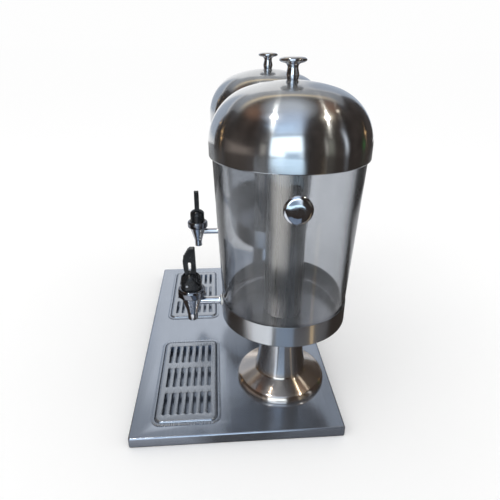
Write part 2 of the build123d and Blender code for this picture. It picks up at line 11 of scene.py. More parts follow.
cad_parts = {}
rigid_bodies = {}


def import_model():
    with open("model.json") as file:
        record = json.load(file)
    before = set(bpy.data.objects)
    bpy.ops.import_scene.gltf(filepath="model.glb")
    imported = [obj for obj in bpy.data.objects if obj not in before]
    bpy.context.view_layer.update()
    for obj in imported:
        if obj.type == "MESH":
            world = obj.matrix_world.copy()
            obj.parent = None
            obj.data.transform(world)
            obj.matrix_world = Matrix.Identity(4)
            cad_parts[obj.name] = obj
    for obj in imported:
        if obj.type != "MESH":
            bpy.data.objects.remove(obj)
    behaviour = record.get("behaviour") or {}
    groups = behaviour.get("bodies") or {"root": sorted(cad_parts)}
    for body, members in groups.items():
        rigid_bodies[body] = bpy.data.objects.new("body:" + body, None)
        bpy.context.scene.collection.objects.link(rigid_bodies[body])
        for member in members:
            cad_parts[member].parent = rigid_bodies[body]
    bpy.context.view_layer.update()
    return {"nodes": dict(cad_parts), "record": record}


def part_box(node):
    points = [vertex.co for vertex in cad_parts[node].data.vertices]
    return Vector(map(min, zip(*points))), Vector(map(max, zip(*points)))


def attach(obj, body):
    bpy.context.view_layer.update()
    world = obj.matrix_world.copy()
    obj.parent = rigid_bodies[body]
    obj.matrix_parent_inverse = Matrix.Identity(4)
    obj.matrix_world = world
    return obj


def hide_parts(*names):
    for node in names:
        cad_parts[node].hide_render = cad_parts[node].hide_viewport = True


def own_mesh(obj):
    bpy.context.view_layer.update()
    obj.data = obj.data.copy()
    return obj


bl_info = {
    "name": "Juice dispenser",
    "version": (1, 0, 0),
    "blender": (4, 5, 0),
    "location": "View3D > Sidebar > Dispenser",
    "description": "Builds the visible pieces of a double juice dispenser round its frame",
    "category": "Object",
}

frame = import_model()

MM = 0.001
SIDES = ("left", "right")

# Distances within which vertices are merged, in metres
WELD = 1e-6
SEAM_WELD = 2e-6
BEVEL_WELD = 5e-6


def middle(node):
    """Middle of a CAD node's box, at the floor's height."""
    low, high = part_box(node)
    return Vector(((low.x + high.x) / 2, (low.y + high.y) / 2, 0))


HEAD = {side: middle(f"{side}_lid") for side in SIDES}
TAP = {side: middle(f"{side}_tap_collar") for side in SIDES}
TRAY = {side: middle(f"{side}_drip_pan") for side in SIDES}
LEVER_TURN = {"left": math.radians(-90), "right": 0.0}


# Sizes and colours

def length(name, description, default_mm):
    """Length property with a default in millimetres."""
    return FloatProperty(name=name, description=description, default=default_mm * MM, min=0, unit="LENGTH",
                         precision=4)


def colour(name, description, default):
    """Colour property."""
    return FloatVectorProperty(name=name, description=description, default=default, subtype="COLOR", size=3,
                               min=0, max=1)


def degrees(name, description, default):
    """Angle property with a default in degrees."""
    return FloatProperty(name=name, description=description, default=math.radians(default), subtype="ANGLE")


def brightness(name, description, default):
    """Brightness property."""
    return FloatProperty(name=name, description=description, default=default, min=0)


class DispenserSizes(bpy.types.PropertyGroup):
    """Sizes of the visible pieces"""
    turn_steps: IntProperty(name="Turning steps", description="Faces round a turned piece", default=112,
                            min=16)
    lid_radius: length("Lid radius", "Outer radius of the lid's skirt", 119.5)
    lid_sheet: length("Lid sheet", "Thickness of the lid's sheet", 1.0)
    skirt_top: length("Skirt top", "Height at which the lid's skirt ends and its shoulder starts", 453.0)
    shoulder: length("Lid shoulder", "Radius of the lid's shoulder arc", 79.2)
    crown: length("Lid crown", "Radius of the lid's crown arc", 214.0)
    tank_wall: length("Tank wall", "Thickness of the clear tank's wall", 3.0)
    tube_radius: length("Ice tube radius", "Outer radius of the ice tube", 33.0)
    pan_sheet: length("Pan sheet", "Thickness of the pan at the tank's foot", 0.8)
    pedestal_sheet: length("Pedestal sheet", "Thickness of the pedestal's sheet", 1.5)
    base_sheet: length("Base sheet", "Thickness of the folded base", 1.5)
    base_fold: length("Base fold", "Radius of the base's folded edge", 3.0)
    tray_sheet: length("Tray sheet", "Thickness of the drip pan's sheet", 0.8)
    slot_width: length("Slot width", "Width of a slot in the grille", 6.0)
    slot_length: length("Slot length", "Length of a slot in the grille", 52.5)
    lever_thickness: length("Lever thickness", "Thickness of a tap lever", 10.0)
    lever_rib: length("Lever rib", "Radius of a rib on a tap lever's slope", 1.2)
    rib_pitch: length("Rib pitch", "Distance between the ribs on a tap lever's slope", 4.4)
    spring_wire: length("Spring wire", "Thickness of the valve springs' wire", 1.1)
    spring_pitch: length("Spring pitch", "Rise of one turn of a valve spring", 4)


class DispenserColours(bpy.types.PropertyGroup):
    """Colours of the finishes"""
    polished: colour("Polished steel", "Lids", (0.50, 0.53, 0.56))
    pedestal: colour("Pedestal steel", "Pedestals", (0.53, 0.53, 0.54))
    # Painted reflection: colour of the two bright flanks of each ice tube
    bright: colour("Painted flank highlights", "Painted flank highlights of the ice tubes", (0.86, 0.80, 0.72))
    # Painted reflection: warm colour on the pedestals' flared feet
    painted_flare_reflection: colour("Painted flare reflection", "Flared feet of the pedestals", (0.62, 0.50, 0.39))
    brushed: colour("Brushed steel", "Pan and ice tube", (0.47, 0.48, 0.49))
    tray: colour("Tray steel", "Grille", (0.41, 0.445, 0.50))
    base: colour("Base steel", "Folded base and drip pans", (0.40, 0.445, 0.52))
    # Darker colour towards the bottom of the drip pans' wells
    darker_foot: colour("Darker foot", "Wells of the drip pans", (0.27, 0.31, 0.38))
    chrome: colour("Chrome", "Knobs and tap bodies", (0.66, 0.67, 0.70))
    dark_chrome: colour("Dark chrome", "Tap collars", (0.24, 0.25, 0.28))
    clear: colour("Clear plastic", "Tanks", (0.68, 0.70, 0.73))
    clear_floor: colour("Clear floor", "Floors of the tanks", (0.87, 0.86, 0.88))
    black: colour("Black plastic", "Tap hoods and levers", (0.010, 0.011, 0.013))
    rubber: colour("Rubber", "Feet", (0.02, 0.02, 0.02))
    silicone: colour("Silicone", "Seals", (0.72, 0.72, 0.70))
    fastener: colour("Plain steel", "Screws, bolts and nuts", (0.52, 0.52, 0.54))


class DispenserStage(bpy.types.PropertyGroup):
    """Floor, light and camera"""
    floor: colour("Floor", "Colour of the pale floor", (0.995, 0.995, 0.995))
    ambient: brightness("Ambient", "World light on dull surfaces", 0.99)
    backdrop: brightness("Backdrop", "World light where it is seen, mirrored or looked through to", 0.988)
    key: brightness("Key", "Power of the large soft lamp in watts", 5.0)
    card: colour("Dim room", "Colour of the room that polished metal mirrors", (0.042, 0.034, 0.030))
    window: brightness("Window", "Strength of the window that metal mirrors", 2.6)
    glint: brightness("Glint", "Strength of the small lights that metal mirrors", 220.0)
    lens: FloatProperty(name="Lens", description="Focal length", default=31.68, min=1, unit="CAMERA")
    azimuth: degrees("Azimuth", "Camera's turn about the object", 85.58)
    pitch: degrees("Pitch", "Camera's look down", 25.06)
    roll: degrees("Roll", "Camera's roll", 0.34)
    eye: FloatVectorProperty(name="Eye", description="Camera's place", default=(0.8028, -0.03765, 0.5827),
                             subtype="XYZ", size=3)


# Plates in millimetres: length, depth and corner
TRAY_OPENING = (219.5, 109, 14.0)
PAN_FLANGE = (226.5, 116, 17.5)
GRILLE_PLATE = (214.3, 103.8, 11.4)

# Base and drip trays in millimetres, with the inset and drop of each of the pan's steps
BASE_CORNER = 4.0
PAN_FLANGE_TOP = 19.8
PAN_STEPS = ((5.3, 4.5), (4.7, 6.5))
PAN_CREASE = 0.7
GRILLE_TOP = 21.5
GRILLE_RISE = 6.2
GRILLE_ROLL = 4.5
GRILLE_SHEET = 1.0
SLOT_ROWS = (-66.4, 0, 66.4)
SLOT_COLUMNS = range(-3, 4)
SLOT_PITCH = 12.55
SLOT_ROUNDING = 0.49

# Outlines in millimetres, with the radius, height and rounding of each corner
PEDESTAL = ((60, 19, 0), (80, 19, 2), (80, 28.5, 7.4), (46, 45.5, 2.4), (37.5, 84, 32), (35, 159, 0))
TANK_PAN = ((3.2, 159, 0), (105.1, 159, 3), (105.1, 196, 0))
KNOB = ((0, 0, 0), (8.2, 0, 0.62), (9.7, 6, 1.64), (7.3, 17, 2.51), (9.6, 21, 1.72), (16.2, 22.6, 0.55),
        (19.4, 24.4, 0.82), (19.4, 26.9, 1.11), (16.2, 28.9, 1.2), (9.5, 30, 1.81), (0, 30.4, 0))
TAP_BODY = ((5.3, 151, 0.6), (8.5, 151, 0.8), (8.8, 165, 3), (18, 195, 0.8), (18.7, 197, 0), (18.7, 206, 0),
            (12.5, 206, 0), (12.5, 195, 0), (6.5, 166, 0), (5.3, 166, 0))
TAP_SHANK = ((3, 12.6, 0), (6.6, 12.6, 0), (6.6, 47.4, 0.4), (9, 47.4, 0.5), (9, 49.1, 0.3), (6.6, 49.1, 0),
             (6.6, 64.2, 0.4), (3, 64.2, 0.3))
TAP_COLLAR = ((18.9, 197, 0), (23, 197, 3.8), (23, 213, 4.7), (17.65, 213, 0.5), (17.65, 209.5, 0),
              (18.9, 209.5, 0))
TAP_HOOD = ((0, 206.3, 0), (18.5, 206.3, 0), (18.5, 209.2, 0), (17.3, 209.2, 0), (17.3, 240, 13.9),
            (0, 240, 0))
LEVER_LEAF = ((-12.3, 216, 4.6), (4.2, 215.6, 3.6), (4.4, 229, 1.5), (9.5, 239, 2.2), (8.6, 285, 2.6),
              (-0.5, 285, 2.2), (-11.8, 266, 3.4), (-11, 251, 2.5), (-8.6, 237, 1.5), (-12.3, 228, 1.5))
LEVER_GRIP = ((-3.9, 261, 2.5), (1.9, 261, 2.5), (0.7, 241.5, 1.4), (-2.7, 241.5, 1.4))

# Tank, ice tube and lid in millimetres
TANK_LOW = 159.8
TANK_FLOOR = 164
TANK_TOP = 446
TANK_LOW_RADIUS = 102.3
TANK_FLOOR_RADIUS = 102.5
TANK_TOP_RADIUS = 115.45
BOSS_RADIUS = 31.5
BOSS_TOP = 166
TUBE_WALL = 1
TUBE_DISC = 176
TUBE_TOP = 428
TUBE_LIP = 1.4
TUBE_LIP_LOW = 425.4
TUBE_LIP_EDGE = 425.8
LID_LOW = 434.5
LID_LIP = 3
SIDE_KNOB_HEIGHT = 396
SIDE_KNOB_REACH = 114.36
SIDE_KNOB_TURN = math.radians(3.5)

# Tap in millimetres
SHANK_HEIGHT = 186.2
CHEEK_BLOCK = (34.6, 69.2, 34.6)
CHEEK_OUT = 32.9
CHEEK_HEIGHT = 230.3
LEVER_PLAY = 0.6
LEVER_SLOT = (42, 31)
LEVER_SLOT_PLACE = (0, -10, 228.5)
PIVOT_BORE = 2.1
PIVOT_PLACE = (0, -6.3, 222)
PIVOT_HALF = 20
HOOD_SHOULDER = 212.5
HOOD_EDGE = 0.5
LEVER_EDGE = 1.1
FORK_SLOT = (60, 3.6, 49)
FORK_PLACE = (0, 0, 205)
LEVER_RIBS = 4
RIB_INSET = 0.5

# Faces round the smaller pieces, and of the spring's wire in one turn and across
KNOB_STEPS = 56
BODY_STEPS = 64
SHANK_STEPS = 40
TAP_STEPS = 72
COIL_STEPS = 28
WIRE_STEPS = 12


# Shaping

def bevel(bm, geom, offset, segments, affect="EDGES", clamp=False):
    """Rounds edges or vertices by an offset in metres."""
    return bmesh.ops.bevel(bm, geom=geom, offset=offset, offset_type="OFFSET", segments=segments, profile=0.5,
                           affect=affect, material=-1, clamp_overlap=clamp)


def chain(bm, corners, closed=False):
    """Row of joined vertices in the half plane, from the corners of an outline."""
    row = [bm.verts.new((radius * MM, 0, height * MM)) for radius, height, _ in corners]
    ends = row[1:] + row[:1] if closed else row[1:]
    for start, end in zip(row, ends):
        bm.edges.new((start, end))
    return row


def soften(bm, row, corners, segments=5):
    """Rounds the vertices of a row, each by its corner's rounding."""
    for vert, (_, _, rounding) in zip(row, corners):
        if rounding:
            bevel(bm, [vert], rounding * MM, segments, "VERTICES")


def swing(bm, vert, centre, angle, steps):
    """Carries a vertex on along an arc in the half plane, and returns the arc's last vertex."""
    arc = bmesh.ops.spin(bm, geom=[vert], cent=(centre[0] * MM, 0, centre[1] * MM), axis=(0, -1, 0),
                         angle=angle, steps=steps)
    return next(g for g in arc["geom_last"] if isinstance(g, bmesh.types.BMVert))


def turn(bm, steps):
    """Turns a row of vertices once about Z and closes the seam and the poles."""
    bmesh.ops.spin(bm, geom=bm.verts[:] + bm.edges[:], cent=(0, 0, 0), axis=(0, 0, 1), angle=math.tau,
                   steps=steps, use_merge=True)
    bmesh.ops.remove_doubles(bm, verts=bm.verts[:], dist=SEAM_WELD)
    bmesh.ops.recalc_face_normals(bm, faces=bm.faces[:])


def turned(corners, steps, segments=5):
    """Closed turned shape from a closed outline."""
    bm = bmesh.new()
    soften(bm, chain(bm, corners, closed=True), corners, segments)
    turn(bm, steps)
    return bm


def spun(corners, steps, segments=6):
    """Open turned sheet from its outer outline."""
    bm = bmesh.new()
    soften(bm, chain(bm, corners), corners, segments)
    turn(bm, steps)
    return bm


def move(bm, matrix):
    """Moves a whole shape."""
    bmesh.ops.transform(bm, matrix=matrix, verts=bm.verts[:])
    return bm


def at(place):
    """Matrix that moves a shape to a place."""
    return Matrix.Translation(place)


def join(bm, other):
    """Adds another shape to a shape and lets the other one go."""
    mesh = bpy.data.meshes.new("joined")
    other.to_mesh(mesh)
    other.free()
    bm.from_mesh(mesh)
    bpy.data.meshes.remove(mesh)
    return bm


def block(size, centre):
    """Plain block with its size and centre in millimetres."""
    bm = bmesh.new()
    bmesh.ops.create_cube(bm, size=1.0)
    bmesh.ops.scale(bm, vec=[s * MM for s in size], verts=bm.verts[:])
    return move(bm, at([c * MM for c in centre]))


def bar(radius, half, centre, segments):
    """Round bar along X, with its sizes in millimetres."""
    bm = bmesh.new()
    bmesh.ops.create_cone(bm, cap_ends=True, segments=segments, radius1=radius * MM, radius2=radius * MM,
                          depth=2 * half * MM)
    return move(bm, at([c * MM for c in centre]) @ Matrix.Rotation(math.pi / 2, 4, "Y"))


def carve(bm, *cutters):
    """Cuts closed shapes out of a closed shape."""
    scene = bpy.context.scene.collection.objects
    made = []
    for shape in (bm, *cutters):
        made.append(bpy.data.objects.new("carving", bpy.data.meshes.new("carving")))
        shape.to_mesh(made[-1].data)
        scene.link(made[-1])
    for cutter in made[1:]:
        cut = made[0].modifiers.new("cut", "BOOLEAN")
        cut.object = cutter
        cut.operation = "DIFFERENCE"
        cut.solver = "EXACT"
    carved = bpy.data.meshes.new_from_object(made[0].evaluated_get(bpy.context.evaluated_depsgraph_get()))
    bm.clear()
    bm.from_mesh(carved)
    bpy.data.meshes.remove(carved)
    for cutter in cutters:
        cutter.free()
    for thing in made:
        mesh = thing.data
        bpy.data.objects.remove(thing)
        bpy.data.meshes.remove(mesh)
    bmesh.ops.remove_doubles(bm, verts=bm.verts[:], dist=WELD)
    return bm


def rounded_face(bm, size_x, size_y, corner, height, segments=8, centre=(0, 0)):
    """Flat face with rounded corners, in millimetres."""
    made = bmesh.ops.create_grid(bm, x_segments=1, y_segments=1, size=0.5)["verts"]
    bmesh.ops.scale(bm, vec=(size_x * MM, size_y * MM, 1), verts=made)
    bmesh.ops.translate(bm, vec=(centre[0] * MM, centre[1] * MM, height * MM), verts=made)
    rounded = bevel(bm, made, corner * MM, segments, "VERTICES")
    return next(f for v in rounded["verts"] for f in v.link_faces if len(f.verts) > 4)


def open_face(bm, face):
    """Takes a face away, keeps its edges and returns them."""
    edges = face.edges[:]
    bmesh.ops.delete(bm, geom=[face], context="FACES_ONLY")
    return edges


def extrude(bm, faces, way):
    """Extrudes faces along a way in metres, and returns the faces at its end."""
    made = bmesh.ops.extrude_face_region(bm, geom=faces)["geom"]
    bmesh.ops.translate(bm, vec=way, verts=[g for g in made if isinstance(g, bmesh.types.BMVert)])
    return [g for g in made if isinstance(g, bmesh.types.BMFace)]


def folded_sheet(bm, face, rise, fold, segments):
    """Raises a face to a sheet with folded sides and no bottom, and returns the edges of its open top."""
    top = extrude(bm, [face], (0, 0, rise))[0]
    under = [f for f in bm.faces if f.normal.z < -0.5 or f == face]
    bmesh.ops.delete(bm, geom=under, context="FACES_ONLY")
    bevel(bm, top.edges[:], fold, segments)
    return open_face(bm, max(bm.faces, key=lambda f: len(f.verts)))


def pierced_top(bm, edges):
    """Fills a sheet's top between its outer edges and those of its openings."""
    bmesh.ops.triangle_fill(bm, edges=edges, use_beauty=True, normal=(0, 0, 1))
    bmesh.ops.remove_doubles(bm, verts=bm.verts[:], dist=WELD)
    bmesh.ops.recalc_face_normals(bm, faces=bm.faces[:])
    return bm


def creases(bm, angle):
    """Edges at which two faces meet at more than an angle in radians."""
    return [e for e in bm.edges if len(e.link_faces) == 2 and e.calc_face_angle() > angle]


def placed(name, bm, material):
    """Object in the scene with a shape and a material."""
    mesh = bpy.data.meshes.new(name)
    bm.to_mesh(mesh)
    bm.free()
    mesh.materials.append(material)
    thing = bpy.data.objects.new(name, mesh)
    bpy.context.scene.collection.objects.link(thing)
    return thing


def piece(name, bm, finish, body, slot, *nodes, sheet=0.0, sharp=40, flat=False):
    """Finished piece of a shape: it rides on a body, takes a finish and stands for its CAD nodes; the slot is
    not used.
    """
    thing = placed(name, bm, finishes()[finish])
    thing.data.shade_smooth()
    thing.data.set_sharp_from_angle(angle=math.radians(sharp))
    if sheet:
        wall = thing.modifiers.new("Sheet", "SOLIDIFY")
        wall.thickness = sheet
        wall.offset = -1
        wall.use_even_offset = True
        wall.use_quality_normals = True
    if flat or sheet:
        level = thing.modifiers.new("Flat faces", "WEIGHTED_NORMAL")
        level.mode = "FACE_AREA"
        level.keep_sharp = True
    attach(thing, body)
    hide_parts(*nodes)
    return thing


# Finishes

class Finish:
    """Builds one material's nodes on a Principled shader."""

    def __init__(self, name, base_colour, **sockets):
        self.material = bpy.data.materials.new(name)
        self.material.use_nodes = True
        self.tree = self.material.node_tree
        self.shader = self.tree.nodes["Principled BSDF"]
        self.shader.inputs["Base Color"].default_value = (*base_colour, 1)
        for socket, value in sockets.items():
            self.shader.inputs[socket.replace("_", " ")].default_value = value

    def add(self, kind, **values):
        """Adds a node and sets its own values."""
        made = self.tree.nodes.new(kind)
        for key, value in values.items():
            setattr(made, key, value)
        return made

    def link(self, output, target):
        """Joins two sockets."""
        self.tree.links.new(output, target)

    def feed(self, value, target):
        """Links a socket to an input, or sets a value there."""
        if isinstance(value, bpy.types.NodeSocket):
            self.link(value, target)
        else:
            target.default_value = value

    def calculate(self, operation, *values):
        """Result of an operation on sockets and numbers."""
        made = self.add("ShaderNodeMath", operation=operation)
        for value, target in zip(values, made.inputs):
            self.feed(value, target)
        return made.outputs["Value"]

    def blend(self, share, first, second):
        """Colour between a first colour and a second colour or colour socket."""
        mix = self.add("ShaderNodeMix", data_type="RGBA")
        mix.inputs["A"].default_value = (*first, 1)
        self.feed(second if isinstance(second, bpy.types.NodeSocket) else (*second, 1), mix.inputs["B"])
        self.link(share, mix.inputs["Factor"])
        return mix.outputs["Result"]

    def places(self, centre=(0, 0, 0), stretch=(1, 1, 1)):
        """Object coordinates, centred and stretched."""
        mapping = self.add("ShaderNodeMapping", vector_type="POINT")
        mapping.inputs["Location"].default_value = [-c * s for c, s in zip(centre, stretch)]
        mapping.inputs["Scale"].default_value = stretch
        self.link(self.add("ShaderNodeTexCoord").outputs["Object"], mapping.inputs["Vector"])
        return mapping.outputs["Vector"]

    def noise(self, vector, scale, detail=2.0, roughness=0.5):
        """Noise in a space."""
        made = self.add("ShaderNodeTexNoise")
        made.inputs["Scale"].default_value = scale
        made.inputs["Detail"].default_value = detail
        made.inputs["Roughness"].default_value = roughness
        self.link(vector, made.inputs["Vector"])
        return made.outputs["Fac"]

    def remap(self, value, low, high, start=0.3, end=0.7):
        """Spreads a noise value over a range."""
        made = self.add("ShaderNodeMapRange")
        for socket, number in (("From Min", start), ("From Max", end), ("To Min", low), ("To Max", high)):
            made.inputs[socket].default_value = number
        self.link(value, made.inputs["Value"])
        return made.outputs["Result"]

    def rings(self, centre):
        """Coordinates that are the same all round an upright axis: radius and height."""
        split = self.add("ShaderNodeSeparateXYZ")
        self.link(self.places(centre), split.inputs["Vector"])
        flat = self.add("ShaderNodeCombineXYZ")
        self.link(split.outputs["X"], flat.inputs["X"])
        self.link(split.outputs["Y"], flat.inputs["Y"])
        radius = self.add("ShaderNodeVectorMath", operation="LENGTH")
        self.link(flat.outputs["Vector"], radius.inputs[0])
        ring = self.add("ShaderNodeCombineXYZ")
        self.link(radius.outputs["Value"], ring.inputs["X"])
        self.link(split.outputs["Z"], ring.inputs["Z"])
        return ring.outputs["Vector"]

    def tint(self, value, dark, light):
        """Base colour between two shades by a value: noise, or on the ice tubes a painted reflection round
        the axis.
        """
        self.link(self.blend(value, dark, light), self.shader.inputs["Base Color"])

    def lower_tint(self, colour_below, low_mm, high_mm):
        """Another base colour below a height, which fades out up to a second height in millimetres."""
        height = self.add("ShaderNodeSeparateXYZ")
        self.link(self.places(), height.inputs["Vector"])
        above = self.shader.inputs["Base Color"].links[0].from_socket
        share = self.remap(height.outputs["Z"], 0, 1, low_mm * MM, high_mm * MM)
        self.link(self.blend(share, colour_below, above), self.shader.inputs["Base Color"])

    def roughness(self, value, low, high):
        """Roughness between two values by a noise value."""
        self.link(self.remap(value, low, high), self.shader.inputs["Roughness"])

    def bump(self, value, depth_mm):
        """Relief by a noise value, with its depth in millimetres."""
        made = self.add("ShaderNodeBump")
        made.inputs["Strength"].default_value = 1.0
        made.inputs["Distance"].default_value = depth_mm * MM
        self.link(value, made.inputs["Height"])
        self.link(made.outputs["Normal"], self.shader.inputs["Normal"])

    def round_grain(self, centre, amount, turns):
        """Grain that runs round an upright axis; a quarter turn stretches highlights along the profile."""
        self.shader.inputs["Anisotropic"].default_value = amount
        self.shader.inputs["Anisotropic Rotation"].default_value = turns
        around = self.add("ShaderNodeVectorMath", operation="CROSS_PRODUCT")
        around.inputs[0].default_value = (0, 0, 1)
        self.link(self.places(centre), around.inputs[1])
        self.link(around.outputs["Vector"], self.shader.inputs["Tangent"])


def shade(base_colour, factor):
    """Colour made darker or lighter."""
    return tuple(min(1.0, c * factor) for c in base_colour)


def spun_steel(name, base_colour, centre, low, high, polish):
    """Steel with turning lines round an axis, faint smears and a polished skin."""
    steel = Finish(name, base_colour, Metallic=1.0, Coat_Weight=1.0, Coat_Roughness=polish, Coat_IOR=3.6)
    lines = steel.noise(steel.rings(centre), scale=620, detail=3, roughness=0.6)
    smears = steel.noise(steel.places(centre, (1, 1, 0.6)), scale=14, detail=3, roughness=0.55)
    both = steel.calculate("MULTIPLY_ADD", lines, 0.5, steel.calculate("MULTIPLY", smears, 0.5))
    steel.tint(steel.remap(both, 0, 1), shade(base_colour, 0.9), shade(base_colour, 1.06))
    steel.roughness(both, low, high)
    steel.bump(lines, 0.003)
    steel.round_grain(centre, amount=1.0, turns=0.25)
    return steel


# Turn of the painted highlights on the ice tubes' flanks
PAINTED_FLANK_PHASE = math.radians(59)


def drawn_tube(name, base_colour, bright, centre):
    """Steel tube with long upright draw streaks, and a painted reflection: two bright and two dark flanks
    round its axis.
    """
    steel = Finish(name, base_colour, Metallic=1.0)
    streaks = steel.noise(steel.places(centre, (1, 1, 0.02)), scale=150, detail=4, roughness=0.65)
    fine = steel.noise(steel.places(centre, (1, 1, 0.01)), scale=900)
    split = steel.add("ShaderNodeSeparateXYZ")
    steel.link(steel.places(centre), split.inputs["Vector"])
    # Painted reflection and painted shade: the base colour swings from a dark shade to the bright colour
    # twice round the axis
    around = steel.calculate("ARCTAN2", split.outputs["Y"], split.outputs["X"])
    wave = steel.calculate("COSINE", steel.calculate("MULTIPLY_ADD", around, 2.0, PAINTED_FLANK_PHASE))
    painted_flank = steel.remap(wave, 0, 1.0, 0.3, 1.0)
    both = steel.calculate("MULTIPLY_ADD", steel.remap(streaks, 0, 1), 0.03, painted_flank)
    steel.tint(both, shade(base_colour, 0.18), bright)
    steel.roughness(streaks, 0.25, 0.31)
    steel.bump(fine, 0.0015)
    steel.round_grain(centre, amount=0.5, turns=0)


def brushed_sheet(name, base_colour, low, high, relief):
    """Flat steel brushed along its length, with smears and fine scratches."""
    steel = Finish(name, base_colour, Metallic=0.87)
    lines = steel.noise(steel.places(stretch=(6, 900, 900)), scale=1.0, detail=3, roughness=0.6)
    smears = steel.noise(steel.places(), scale=9, detail=4, roughness=0.6)
    mixed = steel.calculate("ADD", steel.remap(lines, 0, 0.55, 0.25, 0.75),
                            steel.remap(smears, 0, 0.45, 0.25, 0.75))
    steel.tint(mixed, shade(base_colour, 0.86), shade(base_colour, 1.1))
    steel.link(steel.remap(mixed, low, high, 0, 1), steel.shader.inputs["Roughness"])
    steel.bump(lines, relief)
    return steel


def sheet_darker_below(name, base_colour, darker_foot, low_mm, high_mm):
    """Brushed steel that is darker at its foot, fading out between two heights."""
    sheet = brushed_sheet(name, base_colour, low=0.2, high=0.32, relief=0.004)
    sheet.lower_tint(darker_foot, low_mm, high_mm)


def chrome_plate(name, base_colour):
    """Bright plate with faint orange peel and handling marks."""
    plate = Finish(name, base_colour, Metallic=1.0)
    marks = plate.noise(plate.places(), scale=120, detail=3, roughness=0.6)
    plate.tint(plate.remap(marks, 0, 1), shade(base_colour, 0.9), shade(base_colour, 1.08))
    plate.roughness(marks, 0.05, 0.14)
    plate.bump(plate.noise(plate.places(), scale=260), 0.012)


def clear_wall(name, base_colour, floor_colour, centre):
    """Clear moulded plastic with a light haze, slight draw lines and a clearer floor."""
    clear = Finish(name, base_colour, IOR=1.49, Transmission_Weight=0.98)
    haze = clear.noise(clear.places(centre, (1, 1, 0.35)), scale=26, detail=4, roughness=0.6)
    clear.tint(clear.remap(haze, 0, 1), shade(base_colour, 0.97), shade(base_colour, 1.03))
    clear.lower_tint(floor_colour, low_mm=168, high_mm=176)
    clear.roughness(haze, 0.035, 0.08)
    clear.bump(clear.noise(clear.places(centre, (1, 1, 0.2)), scale=18), 0.05)


def moulded_plastic(name, base_colour, low, high, grain_scale, relief):
    """Solid plastic or rubber with moulded grain."""
    plastic = Finish(name, base_colour)
    grain = plastic.noise(plastic.places(), grain_scale, detail=3, roughness=0.6)
    wear = plastic.noise(plastic.places(), scale=90, detail=3, roughness=0.6)
    plastic.tint(plastic.remap(wear, 0, 1), shade(base_colour, 0.8), shade(base_colour, 1.35))
    plastic.roughness(wear, low, high)
    plastic.bump(grain, relief)


def finishes():
    """All materials by name, with the finishes made at the first call."""
    colours = bpy.context.scene.dispenser_colours
    if "Base steel" not in bpy.data.materials:
        brushed_sheet("Base steel", colours.base, low=0.12, high=0.21, relief=0.003)
        brushed_sheet("Tray steel", colours.tray, low=0.18, high=0.3, relief=0.004)
        sheet_darker_below("Pan steel", colours.base, colours.darker_foot, low_mm=9.5, high_mm=15.0)
        chrome_plate("Chrome", colours.chrome)
        chrome_plate("Dark chrome", colours.dark_chrome)
        moulded_plastic("Black plastic", colours.black, low=0.16, high=0.3, grain_scale=900, relief=0.01)
        moulded_plastic("Rubber", colours.rubber, low=0.6, high=0.8, grain_scale=700, relief=0.03)
        moulded_plastic("Silicone", colours.silicone, low=0.45, high=0.6, grain_scale=500, relief=0.01)
        brushed_sheet("Plain steel", colours.fastener, low=0.3, high=0.4, relief=0.003)
        for side in SIDES:
            head = HEAD[side]
            spun_steel(f"Polished steel {side}", colours.polished, head, low=0.20, high=0.25, polish=0.13)
            foot = spun_steel(f"Pedestal steel {side}", colours.pedestal, head, low=0.20, high=0.25,
                              polish=0.15)
            # Painted reflection: the flared foot turns warm below 48 to 56 mm
            foot.lower_tint(colours.painted_flare_reflection, low_mm=48, high_mm=56)
            spun_steel(f"Brushed steel {side}", colours.brushed, head, low=0.20, high=0.26, polish=0.24)
            drawn_tube(f"Tube steel {side}", colours.brushed, colours.bright, head)
            clear_wall(f"Clear plastic {side}", colours.clear, colours.clear_floor, head)
    return bpy.data.materials


# Pieces

class DISPENSER_OT_base(bpy.types.Operator):
    """Folds the base's sheet with its two tray openings"""
    bl_idname = "dispenser.base"
    bl_label = "Base"

    def execute(self, context):
        sizes = context.scene.dispenser_sizes
        low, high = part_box("base_plate")
        size, centre = high - low, (low + high) / 2
        bm = bmesh.new()
        face = rounded_face(bm, size.x / MM, size.y / MM, BASE_CORNER, low.z / MM,
                            centre=(centre.x / MM, centre.y / MM))
        edges = folded_sheet(bm, face, size.z, sizes.base_fold, segments=5)
        for side in SIDES:
            place = (TRAY[side].x / MM, TRAY[side].y / MM)
            edges += open_face(bm, rounded_face(bm, *TRAY_OPENING, high.z / MM, centre=place))
        piece("base_plate_sheet", pierced_top(bm, edges), "Base steel", "base", "base_steel",
              "base_plate", sheet=sizes.base_sheet, sharp=30)
        return {"FINISHED"}


